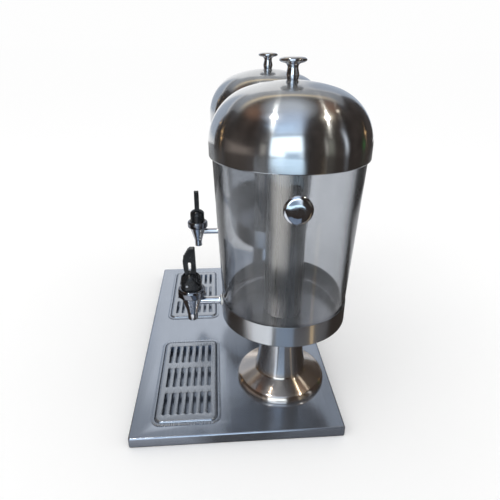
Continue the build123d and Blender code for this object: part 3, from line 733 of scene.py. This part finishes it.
class DISPENSER_OT_trays(bpy.types.Operator):
    """Presses the drip pans and their slotted grilles"""
    bl_idname = "dispenser.trays"
    bl_label = "Drip trays"

    def execute(self, context):
        sizes = context.scene.dispenser_sizes
        for side in SIDES:
            self.pan(side, sizes)
            self.grille(side, sizes)
        return {"FINISHED"}

    def pan(self, side, sizes):
        """Pan with a flat flange, an upper well and a ledge down to the lower well."""
        bm = bmesh.new()
        face = rounded_face(bm, *PAN_FLANGE, PAN_FLANGE_TOP)
        for inset, drop in PAN_STEPS:
            bmesh.ops.inset_region(bm, faces=[face], thickness=inset * MM, use_even_offset=True,
                                   use_boundary=True)
            face = bmesh.ops.extrude_discrete_faces(bm, faces=[face])["faces"][0]
            bmesh.ops.translate(bm, vec=(0, 0, -drop * MM), verts=face.verts[:])
        bevel(bm, creases(bm, angle=1.0), PAN_CREASE * MM, segments=2)
        move(bm, at(TRAY[side]))
        piece(f"{side}_drip_pan_pressing", bm, "Pan steel", f"{side}_drip_pan_unit",
              "brushed_steel", f"{side}_drip_pan", sheet=sizes.tray_sheet, sharp=30)

    def grille(self, side, sizes):
        """Plate with rolled edges and rows of long slots."""
        bm = bmesh.new()
        face = rounded_face(bm, *GRILLE_PLATE, GRILLE_TOP - GRILLE_RISE)
        edges = folded_sheet(bm, face, GRILLE_RISE * MM, GRILLE_ROLL * MM, segments=7)
        slot = (sizes.slot_length / MM, sizes.slot_width / MM, SLOT_ROUNDING * sizes.slot_width / MM)
        for row in SLOT_ROWS:
            for column in SLOT_COLUMNS:
                place = (row, column * SLOT_PITCH)
                edges += open_face(bm, rounded_face(bm, *slot, GRILLE_TOP, segments=5, centre=place))
        move(pierced_top(bm, edges), at(TRAY[side]))
        piece(f"{side}_grille_plate", bm, "Tray steel", f"{side}_grille_unit", "brushed_steel",
              f"{side}_grille", sheet=GRILLE_SHEET * MM, sharp=30)


class DISPENSER_OT_pedestals(bpy.types.Operator):
    """Spins the trumpet pedestals"""
    bl_idname = "dispenser.pedestals"
    bl_label = "Pedestals"

    def execute(self, context):
        sizes = context.scene.dispenser_sizes
        for side in SIDES:
            bm = move(spun(PEDESTAL, sizes.turn_steps, segments=8), at(HEAD[side]))
            piece(f"{side}_pedestal_trumpet", bm, f"Pedestal steel {side}", "base",
                  "polished_steel", f"{side}_pedestal", sheet=sizes.pedestal_sheet)
        return {"FINISHED"}


class DISPENSER_OT_tanks(bpy.types.Operator):
    """Makes the clear tanks, the pans at their feet and the ice tubes"""
    bl_idname = "dispenser.tanks"
    bl_label = "Tanks"

    def execute(self, context):
        sizes = context.scene.dispenser_sizes
        steps = sizes.turn_steps
        wall = sizes.tank_wall / MM
        tube = sizes.tube_radius / MM
        inner, lip = tube - TUBE_WALL, tube + TUBE_LIP
        for side in SIDES:
            place = at(HEAD[side])
            piece(f"{side}_tank_pan_bowl", move(spun(TANK_PAN, steps), place), f"Brushed steel {side}",
                  f"{side}_tank_unit", "brushed_steel", f"{side}_tank_pan", sheet=sizes.pan_sheet)
            pot = turned([(0, TANK_LOW, 0), (TANK_LOW_RADIUS, TANK_LOW, 6), (TANK_TOP_RADIUS, TANK_TOP, 1.2),
                          (TANK_TOP_RADIUS - wall, TANK_TOP, 1.2), (TANK_FLOOR_RADIUS - wall, TANK_FLOOR, 4),
                          (BOSS_RADIUS, TANK_FLOOR, 0.8), (BOSS_RADIUS, BOSS_TOP, 0.8), (0, BOSS_TOP, 0)],
                         steps)
            piece(f"{side}_tank_pot", move(pot, place), f"Clear plastic {side}",
                  f"{side}_tank_unit", "clear_plastic", f"{side}_tank")
            pipe = turned([(0, TUBE_DISC, 0), (inner, TUBE_DISC, 0), (inner, TANK_FLOOR, 0),
                           (tube, TANK_FLOOR, 0.3), (tube, TUBE_LIP_LOW, 0.3), (lip, TUBE_LIP_EDGE, 0.8),
                           (lip, TUBE_TOP, 0.8), (inner, TUBE_TOP, 0.8), (inner, TUBE_DISC + TUBE_WALL, 0),
                           (0, TUBE_DISC + TUBE_WALL, 0)], steps)
            piece(f"{side}_ice_tube_pipe", move(pipe, place), f"Tube steel {side}",
                  f"{side}_tube_unit", "brushed_steel", f"{side}_ice_tube")
        return {"FINISHED"}


def knob():
    """Turned knob along +Z with a bulged foot, a slim neck and a thick domed head."""
    return turned(KNOB, KNOB_STEPS, segments=6)


class DISPENSER_OT_lids(bpy.types.Operator):
    """Spins the domed lids and turns their knobs"""
    bl_idname = "dispenser.lids"
    bl_label = "Lids"

    def execute(self, context):
        sizes = context.scene.dispenser_sizes
        radius, shoulder, crown = sizes.lid_radius / MM, sizes.shoulder / MM, sizes.crown / MM
        skirt_top = sizes.skirt_top / MM
        inset = radius - shoulder
        centre = skirt_top - math.sqrt((crown - shoulder) ** 2 - inset ** 2)
        meet = math.atan2(skirt_top - centre, inset)
        for side in SIDES:
            bm = bmesh.new()
            skirt = [(radius - LID_LIP, LID_LOW, 0), (radius, LID_LOW, 1.6), (radius, skirt_top, 0)]
            row = chain(bm, skirt)
            last = swing(bm, row[-1], (inset, skirt_top), meet, steps=22)
            swing(bm, last, (0, centre), math.pi / 2 - meet, steps=16)
            soften(bm, row, skirt)
            turn(bm, sizes.turn_steps)
            piece(f"{side}_lid_dome", move(bm, at(HEAD[side])), f"Polished steel {side}",
                  f"{side}_lid_unit", "polished_steel", f"{side}_lid", sheet=sizes.lid_sheet)
            apex = at(HEAD[side] + Vector((0, 0, (centre + crown) * MM)))
            piece(f"{side}_lid_knob_turning", move(knob(), apex), "Chrome", f"{side}_lid_unit",
                  "chrome", f"{side}_lid_knob")
        return {"FINISHED"}


class DISPENSER_OT_side_knobs(bpy.types.Operator):
    """Turns the lifting knobs on the tanks' sides"""
    bl_idname = "dispenser.side_knobs"
    bl_label = "Side knobs"

    def execute(self, context):
        outward = at((SIDE_KNOB_REACH * MM, 0, SIDE_KNOB_HEIGHT * MM)) @ Matrix.Rotation(math.pi / 2, 4, "Y")
        for side in SIDES:
            bm = bmesh.new()
            for angle in (-SIDE_KNOB_TURN, math.pi + SIDE_KNOB_TURN):
                join(bm, move(knob(), at(HEAD[side]) @ Matrix.Rotation(angle, 4, "Z") @ outward))
            piece(f"{side}_side_knob_turnings", bm, "Chrome", f"{side}_tank_unit", "chrome",
                  f"{side}_side_knobs")
        return {"FINISHED"}


class DISPENSER_OT_taps(bpy.types.Operator):
    """Makes the tap bodies, their collars, hoods, levers and springs"""
    bl_idname = "dispenser.taps"
    bl_label = "Taps"

    def execute(self, context):
        sizes = context.scene.dispenser_sizes
        for side in SIDES:
            self.body(side)
            swivel = at(TAP[side]) @ Matrix.Rotation(LEVER_TURN[side], 4, "Z")
            self.hood(side, swivel, sizes)
            self.lever(side, swivel, sizes)
            self.spring(side, sizes)
        return {"FINISHED"}

    def body(self, side):
        """Cone with a spout and a chamber, the shank to the tank and the round collar."""
        bm = turned(TAP_BODY, BODY_STEPS)
        shank = turned(TAP_SHANK, SHANK_STEPS, segments=3)
        move(shank, at((0, 0, SHANK_HEIGHT * MM)) @ Matrix.Rotation(-math.pi / 2, 4, "X"))
        join(bm, shank)
        piece(f"{side}_tap_body_casting", move(bm, at(TAP[side])), "Chrome", f"{side}_tank_unit",
              "chrome", f"{side}_tap_body")
        collar = move(turned(TAP_COLLAR, TAP_STEPS, segments=7), at(TAP[side]))
        piece(f"{side}_tap_collar_nut", collar, "Dark chrome", f"{side}_tank_unit", "chrome",
              f"{side}_tap_collar")

    def hood(self, side, swivel, sizes):
        """Dome with flats on its cheeks and a slot for the lever."""
        bm = turned(TAP_HOOD, TAP_STEPS, segments=9)
        gap = sizes.lever_thickness / MM + LEVER_PLAY
        cheeks = [block(CHEEK_BLOCK, (way * CHEEK_OUT, 0, CHEEK_HEIGHT)) for way in (1, -1)]
        pivot = bar(PIVOT_BORE, PIVOT_HALF, PIVOT_PLACE, segments=32)
        carve(bm, *cheeks, block((gap, *LEVER_SLOT), LEVER_SLOT_PLACE), pivot)
        edges = [e for e in creases(bm, angle=0.6) if min(v.co.z for v in e.verts) > HOOD_SHOULDER * MM]
        bevel(bm, edges, HOOD_EDGE * MM, segments=2, clamp=True)
        bmesh.ops.remove_doubles(bm, verts=bm.verts[:], dist=BEVEL_WELD)
        bmesh.ops.dissolve_degenerate(bm, dist=BEVEL_WELD, edges=bm.edges[:])
        piece(f"{side}_tap_hood_dome", move(bm, swivel), "Black plastic", f"{side}_hood_unit",
              "black_plastic", f"{side}_tap_hood", flat=True)

    def lever(self, side, swivel, sizes):
        """Leaf with a slot in its grip, ribs on its slope and a forked foot."""
        bm = bmesh.new()
        for corners in (LEVER_LEAF, LEVER_GRIP):
            soften(bm, chain(bm, corners, closed=True), corners)
        bmesh.ops.triangle_fill(bm, edges=bm.edges[:], use_beauty=True, normal=(0, 1, 0))
        half = sizes.lever_thickness / 2
        bmesh.ops.translate(bm, vec=(0, -half, 0), verts=bm.verts[:])
        extrude(bm, bm.faces[:], (0, 2 * half, 0))
        bmesh.ops.recalc_face_normals(bm, faces=bm.faces[:])
        bevel(bm, creases(bm, angle=1.2), LEVER_EDGE * MM, segments=3, clamp=True)
        carve(bm, block(FORK_SLOT, FORK_PLACE))
        upright = Matrix.Rotation(math.pi / 2, 4, "Z")
        start, end = [Vector((across, 0, height)) for across, height, _ in LEVER_LEAF[5:7]]
        slope = (end - start).normalized() * sizes.rib_pitch / MM
        for rib in range(1, LEVER_RIBS + 1):
            mark = bar(sizes.lever_rib / MM, half / MM - RIB_INSET, (0, 0, 0), segments=16)
            join(bm, move(mark, at((start + rib * slope) * MM) @ upright))
        piece(f"{side}_tap_lever_leaf", move(bm, swivel @ upright), "Black plastic",
              f"{side}_lever_unit", "black_plastic", f"{side}_tap_lever", flat=True)

    def spring(self, side, sizes):
        """Coil round the stem, within the CAD spring's box; the real spring closes up towards its top as the
        valve lifts.
        """
        low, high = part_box(f"{side}_tap_spring")
        wire, rise = sizes.spring_wire / 2, high.z - low.z - sizes.spring_wire
        turns = rise / sizes.spring_pitch
        steps = round(turns * COIL_STEPS)
        bm = bmesh.new()
        bmesh.ops.create_circle(bm, cap_ends=False, segments=WIRE_STEPS, radius=wire)
        move(bm, at((high.x - TAP[side].x - wire, 0, 0)) @ Matrix.Rotation(math.pi / 2, 4, "X"))
        bmesh.ops.spin(bm, geom=bm.verts[:] + bm.edges[:], cent=(0, 0, 0), axis=(0, 0, 1),
                       dvec=(0, 0, rise / steps), angle=math.tau * turns, steps=steps)
        bmesh.ops.holes_fill(bm, edges=[e for e in bm.edges if e.is_boundary], sides=0)
        bmesh.ops.recalc_face_normals(bm, faces=bm.faces[:])
        top = Vector((TAP[side].x, TAP[side].y, high.z))
        move(bm, at((top.x, top.y, low.z + wire)))
        coil = piece(f"{side}_tap_spring_coil", bm, "Plain steel", f"{side}_tank_unit", "fastener",
                     f"{side}_tap_spring")
        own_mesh(coil)


class DISPENSER_OT_small_parts(bpy.types.Operator):
    """Gives the carried-over small parts their finishes"""
    bl_idname = "dispenser.small_parts"
    bl_label = "Small parts"

    def execute(self, context):
        by_slot = {"base_steel": "Base steel", "brushed_steel": "Tray steel", "chrome": "Chrome",
                   "rubber": "Rubber", "silicone": "Silicone", "fastener": "Plain steel"}
        slots = {part["node"]: part["material_slot"] for part in frame["record"]["subparts"]}
        for name, thing in frame["nodes"].items():
            if not thing.hide_render:
                thing.data.materials.clear()
                thing.data.materials.append(finishes()[by_slot[slots[name]]])
        return {"FINISHED"}


# Stage, in metres

ROOM_FRONT, ROOM_REAR, ROOM_SIDE, ROOM_TOP = 3.0, -2.2, 2.2, 2.5
FLOOR_HALF = 60.0
DIM_WALLS = (
    ("Front wall", (ROOM_FRONT, -ROOM_SIDE, 0), (ROOM_FRONT, ROOM_SIDE, ROOM_TOP)),
    ("Left wall", (-2.0, -ROOM_SIDE, 0), (ROOM_FRONT, -ROOM_SIDE, ROOM_TOP)),
    ("Right wall", (-3.1, ROOM_SIDE, 0), (ROOM_FRONT, ROOM_SIDE, ROOM_TOP)),
    ("Ceiling", (-1.1, -ROOM_SIDE, ROOM_TOP), (ROOM_FRONT, ROOM_SIDE, ROOM_TOP)),
)

# Colours that several cards share
REAR_GREY = (0.42, 0.47, 0.55)
CORNER_GREY = (0.25, 0.25, 0.26)
BROWN = (0.25, 0.14, 0.095)
LAMP_ORANGE = (1.0, 0.62, 0.28)

# Soft cards: name, low and high corner, colour, strength, share of the half width that fades, square or round
SOFT_CARDS = (
    ("Rear wall left", (-3.0, -3.4, 0.0), (-3.0, -0.65, 2.6), REAR_GREY, 1.0, 0.25, True),
    ("Rear corner left", (-3.0, -3.4, 2.52), (-0.9, -0.65, 2.52), CORNER_GREY, 1.0, 0.25, True),
    ("Rear wall right", (-3.0, 0.65, 0.0), (-3.0, 3.4, 2.6), REAR_GREY, 1.0, 0.25, True),
    ("Rear corner right", (-3.0, 0.65, 2.52), (-0.9, 3.4, 2.52), CORNER_GREY, 1.0, 0.25, True),
    ("Rear ceiling", (-2.5, -2.2, 2.49), (-0.8, 2.2, 2.49), (0.34, 0.36, 0.39), 1.0, 0.35, True),
    ("Brown ceiling left", (-1.2, -2.15, 2.485), (0.9, -0.6, 2.485), BROWN, 1.0, 0.8, False),
    ("Brown ceiling right", (-1.2, 0.8, 2.485), (0.9, 2.15, 2.485), BROWN, 1.0, 0.8, False),
    ("Cream light", (-0.35, 1.8, 2.44), (-0.05, 2.0, 2.44), (1.0, 0.90, 0.72), 6.0, 0.9, False),
    ("Pale ceiling", (-0.9, -1.15, 2.48), (1.5, 1.1, 2.48), (0.60, 0.63, 0.67), 1.0, 0.6, False),
    ("Lit ceiling", (0.3, -1.35, 2.47), (2.99, 0.75, 2.47), (0.55, 0.64, 0.80), 1.0, 0.45, True),
    ("Sky light", (1.2, -1.7, 2.46), (2.99, 0.55, 2.46), (0.56, 0.74, 1.0), 1.15, 0.7, True),
    ("Warm strip", (-1.35, -1.9, 2.45), (-0.95, 1.9, 2.45), (1.0, 0.80, 0.50), 1.4, 0.9, True),
    ("Halo right", (0.0, 1.05, 2.45), (1.3, 2.15, 2.45), (0.75, 0.66, 0.50), 0.8, 1.0, False),
    ("Low window", (2.93, -0.8, -0.5), (2.93, 0.5, 0.75), (0.26, 0.36, 0.48), 1.0, 0.5, True),
    ("Tall light", (0.78, 2.18, 0.0), (1.06, 2.18, 1.8), (0.85, 0.92, 1.0), 1.3, 0.9, True),
    ("Pale strip", (2.5, 2.17, 0.0), (2.85, 2.17, 2.1), (0.75, 0.72, 0.66), 0.9, 0.9, True),
    ("Dull patch", (1.7, 2.175, 0.0), (2.98, 2.175, 1.6), (0.20, 0.20, 0.17), 1.0, 0.6, True),
    ("Pale corner", (2.1, -2.18, 0.0), (2.98, -2.18, 1.4), (0.40, 0.37, 0.33), 1.0, 0.6, True),
    ("Green patch", (-0.6, 2.16, 0.1), (-0.2, 2.16, 0.6), (0.05, 0.17, 0.05), 1.0, 0.8, False),
    ("Warm lamp right", (-0.8, 2.15, 0.6), (-0.6, 2.15, 0.8), LAMP_ORANGE, 3.0, 0.9, False),
    ("Low brown patch", (-0.6, -2.18, 0.0), (1.9, -2.18, 0.75), (0.30, 0.25, 0.22), 1.0, 0.7, True),
    ("Far floor", (-2.2, -1.7, 0.0015), (-0.8, 1.7, 0.0015), (0.24, 0.24, 0.24), 1.0, 0.3, True),
    ("Rear floor", (-1.0, -1.05, 0.002), (-0.12, 1.1, 0.002), (0.70, 0.71, 0.73), 1.0, 0.25, True),
    ("Window on floor", (1.74, -1.2, 0.002), (3.0, 0.5, 0.002), (0.62, 0.82, 1.0), 2.0, 0.15, True),
    ("Bright edge", (0.27, -0.6, 0.002), (0.6, -0.05, 0.002), (0.95, 0.96, 1.0), 1.0, 0.45, True),
    ("Dark edge", (0.27, 0.03, 0.002), (0.6, 0.6, 0.002), (0.15, 0.15, 0.16), 1.0, 0.2, True),
)

# Window and small lights, whose strengths are settings: low and high corner, and colour
WINDOW = ((2.95, -1.95, 0.0), (2.95, 0.58, 2.28), (0.78, 0.90, 1.0))
GLINTS = {
    "Glint left": ((0.72, -0.79, 2.44), (0.88, -0.63, 2.44), (1.0, 0.95, 0.85)),
    "Glint right": ((0.65, 1.45, 2.44), (0.81, 1.61, 2.44), (1.0, 0.93, 0.80)),
}

# Warm lamps before the left wall: place along it and height, place across and half their width
WARM_LAMPS = ((-1.8, 1.2), (-1.0, 0.9), (-0.85, 0.6))
WARM_LAMP_ACROSS = -2.17
WARM_LAMP_HALF = 0.09

# Floor before the base: name, first and last direction in degrees, colour and strength
FLOOR_WEDGES = (
    ("Bright floor", -56, -24, (0.90, 0.94, 1.0), 1.1),
    ("Dull floor", -18, 9, (0.22, 0.28, 0.38), 1.0),
    ("Warm floor", 36, 41.5, (0.80, 0.60, 0.36), 1.0),
)
WEDGE_GAP, WEDGE_REACH, WEDGE_HEIGHT = 0.04, 0.75, 0.003

# Lamps
KEY_PLACE = (1.0, -1.6, 1.9)
FILL_PLACE = (0.3, 1.9, 1.5)
LAMP_TARGET = (0, 0, 0.3)
LAMP_SIZE = 1.4
FILL_SHARE = 0.4


class DISPENSER_OT_stage(bpy.types.Operator):
    """Sets the pale floor, the soft light, the cards that metal mirrors and the camera"""
    bl_idname = "dispenser.stage"
    bl_label = "Stage"

    def execute(self, context):
        stage = context.scene.dispenser_stage
        context.scene.view_settings.view_transform = "Standard"
        self.world(context.scene, stage)
        self.floor(stage)
        self.lamps(stage)
        self.cards(stage)
        self.camera(context.scene, stage)
        return {"FINISHED"}

    def world(self, scene, stage):
        """White surroundings, with one strength as light on dull surfaces and another where they are seen."""
        scene.world = bpy.data.worlds.new("Studio")
        scene.world.use_nodes = True
        tree = scene.world.node_tree
        background = tree.nodes["Background"]
        background.inputs["Color"].default_value = (1, 1, 1, 1)
        path = tree.nodes.new("ShaderNodeLightPath")
        seen = path.outputs["Is Camera Ray"]
        for ray in ("Is Glossy Ray", "Is Transmission Ray"):
            either = tree.nodes.new("ShaderNodeMath")
            either.operation = "MAXIMUM"
            tree.links.new(seen, either.inputs[0])
            tree.links.new(path.outputs[ray], either.inputs[1])
            seen = either.outputs["Value"]
        strength = tree.nodes.new("ShaderNodeMapRange")
        strength.inputs["To Min"].default_value = stage.ambient
        strength.inputs["To Max"].default_value = stage.backdrop
        tree.links.new(seen, strength.inputs["Value"])
        tree.links.new(strength.outputs["Result"], background.inputs["Strength"])

    def add(self, name, bm, material):
        """Object of the stage."""
        thing = placed(name, bm, material)
        return thing

    def floor(self, stage):
        """Wide pale floor."""
        bm = bmesh.new()
        bmesh.ops.create_grid(bm, x_segments=1, y_segments=1, size=FLOOR_HALF)
        self.add("Floor", bm, Finish("Floor", stage.floor, Roughness=1.0, Specular_IOR_Level=0.0).material)

    def lamp(self, name, place, power, tint):
        """Square soft lamp that looks at the object."""
        data = bpy.data.lights.new(name, "AREA")
        data.shape = "SQUARE"
        data.size = LAMP_SIZE
        data.energy = power
        data.color = tint
        lamp = bpy.data.objects.new(name, data)
        lamp.location = place
        lamp.rotation_euler = (Vector(LAMP_TARGET) - Vector(place)).to_track_quat("-Z", "Y").to_euler()
        lamp.visible_glossy = False
        bpy.context.scene.collection.objects.link(lamp)

    def lamps(self, stage):
        """Large key lamp and a weaker one across from it."""
        self.lamp("Key", KEY_PLACE, stage.key, (1.0, 0.98, 0.95))
        self.lamp("Fill", FILL_PLACE, stage.key * FILL_SHARE, (1, 1, 1))

    def mirrored(self, name, corners, base_colour, strength):
        """Glowing face that shows only in reflections."""
        bm = bmesh.new()
        bm.faces.new([bm.verts.new(corner) for corner in corners])
        glow = Finish(name, (0, 0, 0), Specular_IOR_Level=0.0, Roughness=1.0, Emission_Strength=strength)
        glow.shader.inputs["Emission Color"].default_value = (*base_colour, 1)
        face = self.add(name, bm, glow.material)
        for ray in ("camera", "diffuse", "transmission", "shadow"):
            setattr(face, f"visible_{ray}", False)
        return glow

    def card(self, name, low, high, base_colour, strength=1.0):
        """Upright or level card between its lowest and highest corner."""
        first, second = [axis for axis in range(3) if low[axis] != high[axis]]
        corners = [list(low), list(low), list(high), list(low)]
        corners[1][first] = high[first]
        corners[3][second] = high[second]
        return self.mirrored(name, corners, base_colour, strength)

    def glow(self, name, low, high, base_colour, strength, soft, square):
        """Round or square card that fades out over the outer share of its half width."""
        made = self.card(name, low, high, base_colour, strength)
        size = [max(abs(b - a), 0.1) for a, b in zip(low, high)]
        spot = made.places([(a + b) / 2 for a, b in zip(low, high)], [2 / s for s in size])
        reach = made.add("ShaderNodeVectorMath", operation="ABSOLUTE" if square else "LENGTH")
        made.link(spot, reach.inputs[0])
        if square:
            split = made.add("ShaderNodeSeparateXYZ")
            made.link(reach.outputs["Vector"], split.inputs["Vector"])
            apart = split.outputs["X"]
            for axis in "YZ":
                apart = made.calculate("MAXIMUM", apart, split.outputs[axis])
        else:
            apart = reach.outputs["Value"]
        made.link(made.remap(apart, 1, 0, 1 - soft, 1), made.shader.inputs["Alpha"])

    def wedge(self, name, start, end, base_colour, strength):
        """Patch of floor in front of the base between two directions in degrees from the near head."""
        front_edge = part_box("base_plate")[1].x - HEAD["right"].x + WEDGE_GAP
        slopes = [math.tan(math.radians(angle)) for angle in (start, end)]
        corners = [HEAD["right"] + Vector((reach, reach * slopes[edge], WEDGE_HEIGHT))
                   for edge, reach in ((0, front_edge), (0, WEDGE_REACH), (1, WEDGE_REACH), (1, front_edge))]
        self.mirrored(name, corners, base_colour, strength)

    def cards(self, stage):
        """Dim room with a window, lit ceiling, small lights and a floor that is bright on the left."""
        dim = stage.card
        for name, low, high in DIM_WALLS:
            self.mottle(self.card(name, low, high, dim), dim)
        self.card("Floor around", (ROOM_REAR, -ROOM_SIDE, 0.001), (ROOM_FRONT, ROOM_SIDE, 0.001), dim)
        for row in SOFT_CARDS:
            self.glow(*row)
        self.glow("Window", *WINDOW, stage.window, soft=0.2, square=True)
        for name, row in GLINTS.items():
            self.glow(name, *row, stage.glint, soft=0.5, square=False)
        for place, height in WARM_LAMPS:
            low = (place - WARM_LAMP_HALF, WARM_LAMP_ACROSS, height - WARM_LAMP_HALF)
            high = (place + WARM_LAMP_HALF, WARM_LAMP_ACROSS, height + WARM_LAMP_HALF)
            self.glow("Warm lamp left", low, high, LAMP_ORANGE, strength=4.0, soft=0.9, square=False)
        for row in FLOOR_WEDGES:
            self.wedge(*row)

    def mottle(self, made, base_colour):
        """Uneven light on a wall."""
        patches = made.noise(made.places(), scale=1.3, detail=3, roughness=0.6)
        light = made.blend(made.remap(patches, 0, 1), shade(base_colour, 0.5), shade(base_colour, 1.7))
        made.link(light, made.shader.inputs["Emission Color"])

    def camera(self, scene, stage):
        """Camera at the photograph's angle."""
        data = bpy.data.cameras.new("Camera")
        data.sensor_width = 36.0
        data.lens = stage.lens
        data.clip_start = 0.01
        camera = bpy.data.objects.new("Camera", data)
        turn_to = (Matrix.Rotation(stage.azimuth, 3, "Z") @ Matrix.Rotation(math.pi / 2 - stage.pitch, 3, "X")
                   @ Matrix.Rotation(stage.roll, 3, "Z"))
        camera.location = stage.eye
        camera.rotation_euler = turn_to.to_euler()
        scene.collection.objects.link(camera)
        scene.camera = camera


GROUPS = {"dispenser_sizes": DispenserSizes, "dispenser_colours": DispenserColours,
          "dispenser_stage": DispenserStage}
OPERATORS = (DISPENSER_OT_base, DISPENSER_OT_trays, DISPENSER_OT_pedestals, DISPENSER_OT_tanks,
             DISPENSER_OT_lids, DISPENSER_OT_side_knobs, DISPENSER_OT_taps, DISPENSER_OT_small_parts,
             DISPENSER_OT_stage)


class DISPENSER_PT_panel(bpy.types.Panel):
    """Lists the dispenser's operators"""
    bl_label = "Juice dispenser"
    bl_space_type = "VIEW_3D"
    bl_region_type = "UI"
    bl_category = "Dispenser"

    def draw(self, context):
        for operator in OPERATORS:
            self.layout.operator(operator.bl_idname)
        for group in GROUPS:
            settings = getattr(context.scene, group)
            for name in settings.bl_rna.properties.keys():
                if name not in ("rna_type", "name"):
                    self.layout.prop(settings, name)


def register():
    for item in (*GROUPS.values(), *OPERATORS, DISPENSER_PT_panel):
        bpy.utils.register_class(item)
    for name, group in GROUPS.items():
        setattr(bpy.types.Scene, name, PointerProperty(type=group))


def unregister():
    for name in GROUPS:
        delattr(bpy.types.Scene, name)
    for item in (DISPENSER_PT_panel, *reversed(OPERATORS), *reversed(GROUPS.values())):
        bpy.utils.unregister_class(item)


def main():
    register()
    bpy.ops.dispenser.base()
    bpy.ops.dispenser.trays()
    bpy.ops.dispenser.pedestals()
    bpy.ops.dispenser.tanks()
    bpy.ops.dispenser.lids()
    bpy.ops.dispenser.side_knobs()
    bpy.ops.dispenser.taps()
    bpy.ops.dispenser.small_parts()
    bpy.ops.dispenser.stage()
    bpy.context.view_layer.update()


if __name__ == "__main__":
    main()
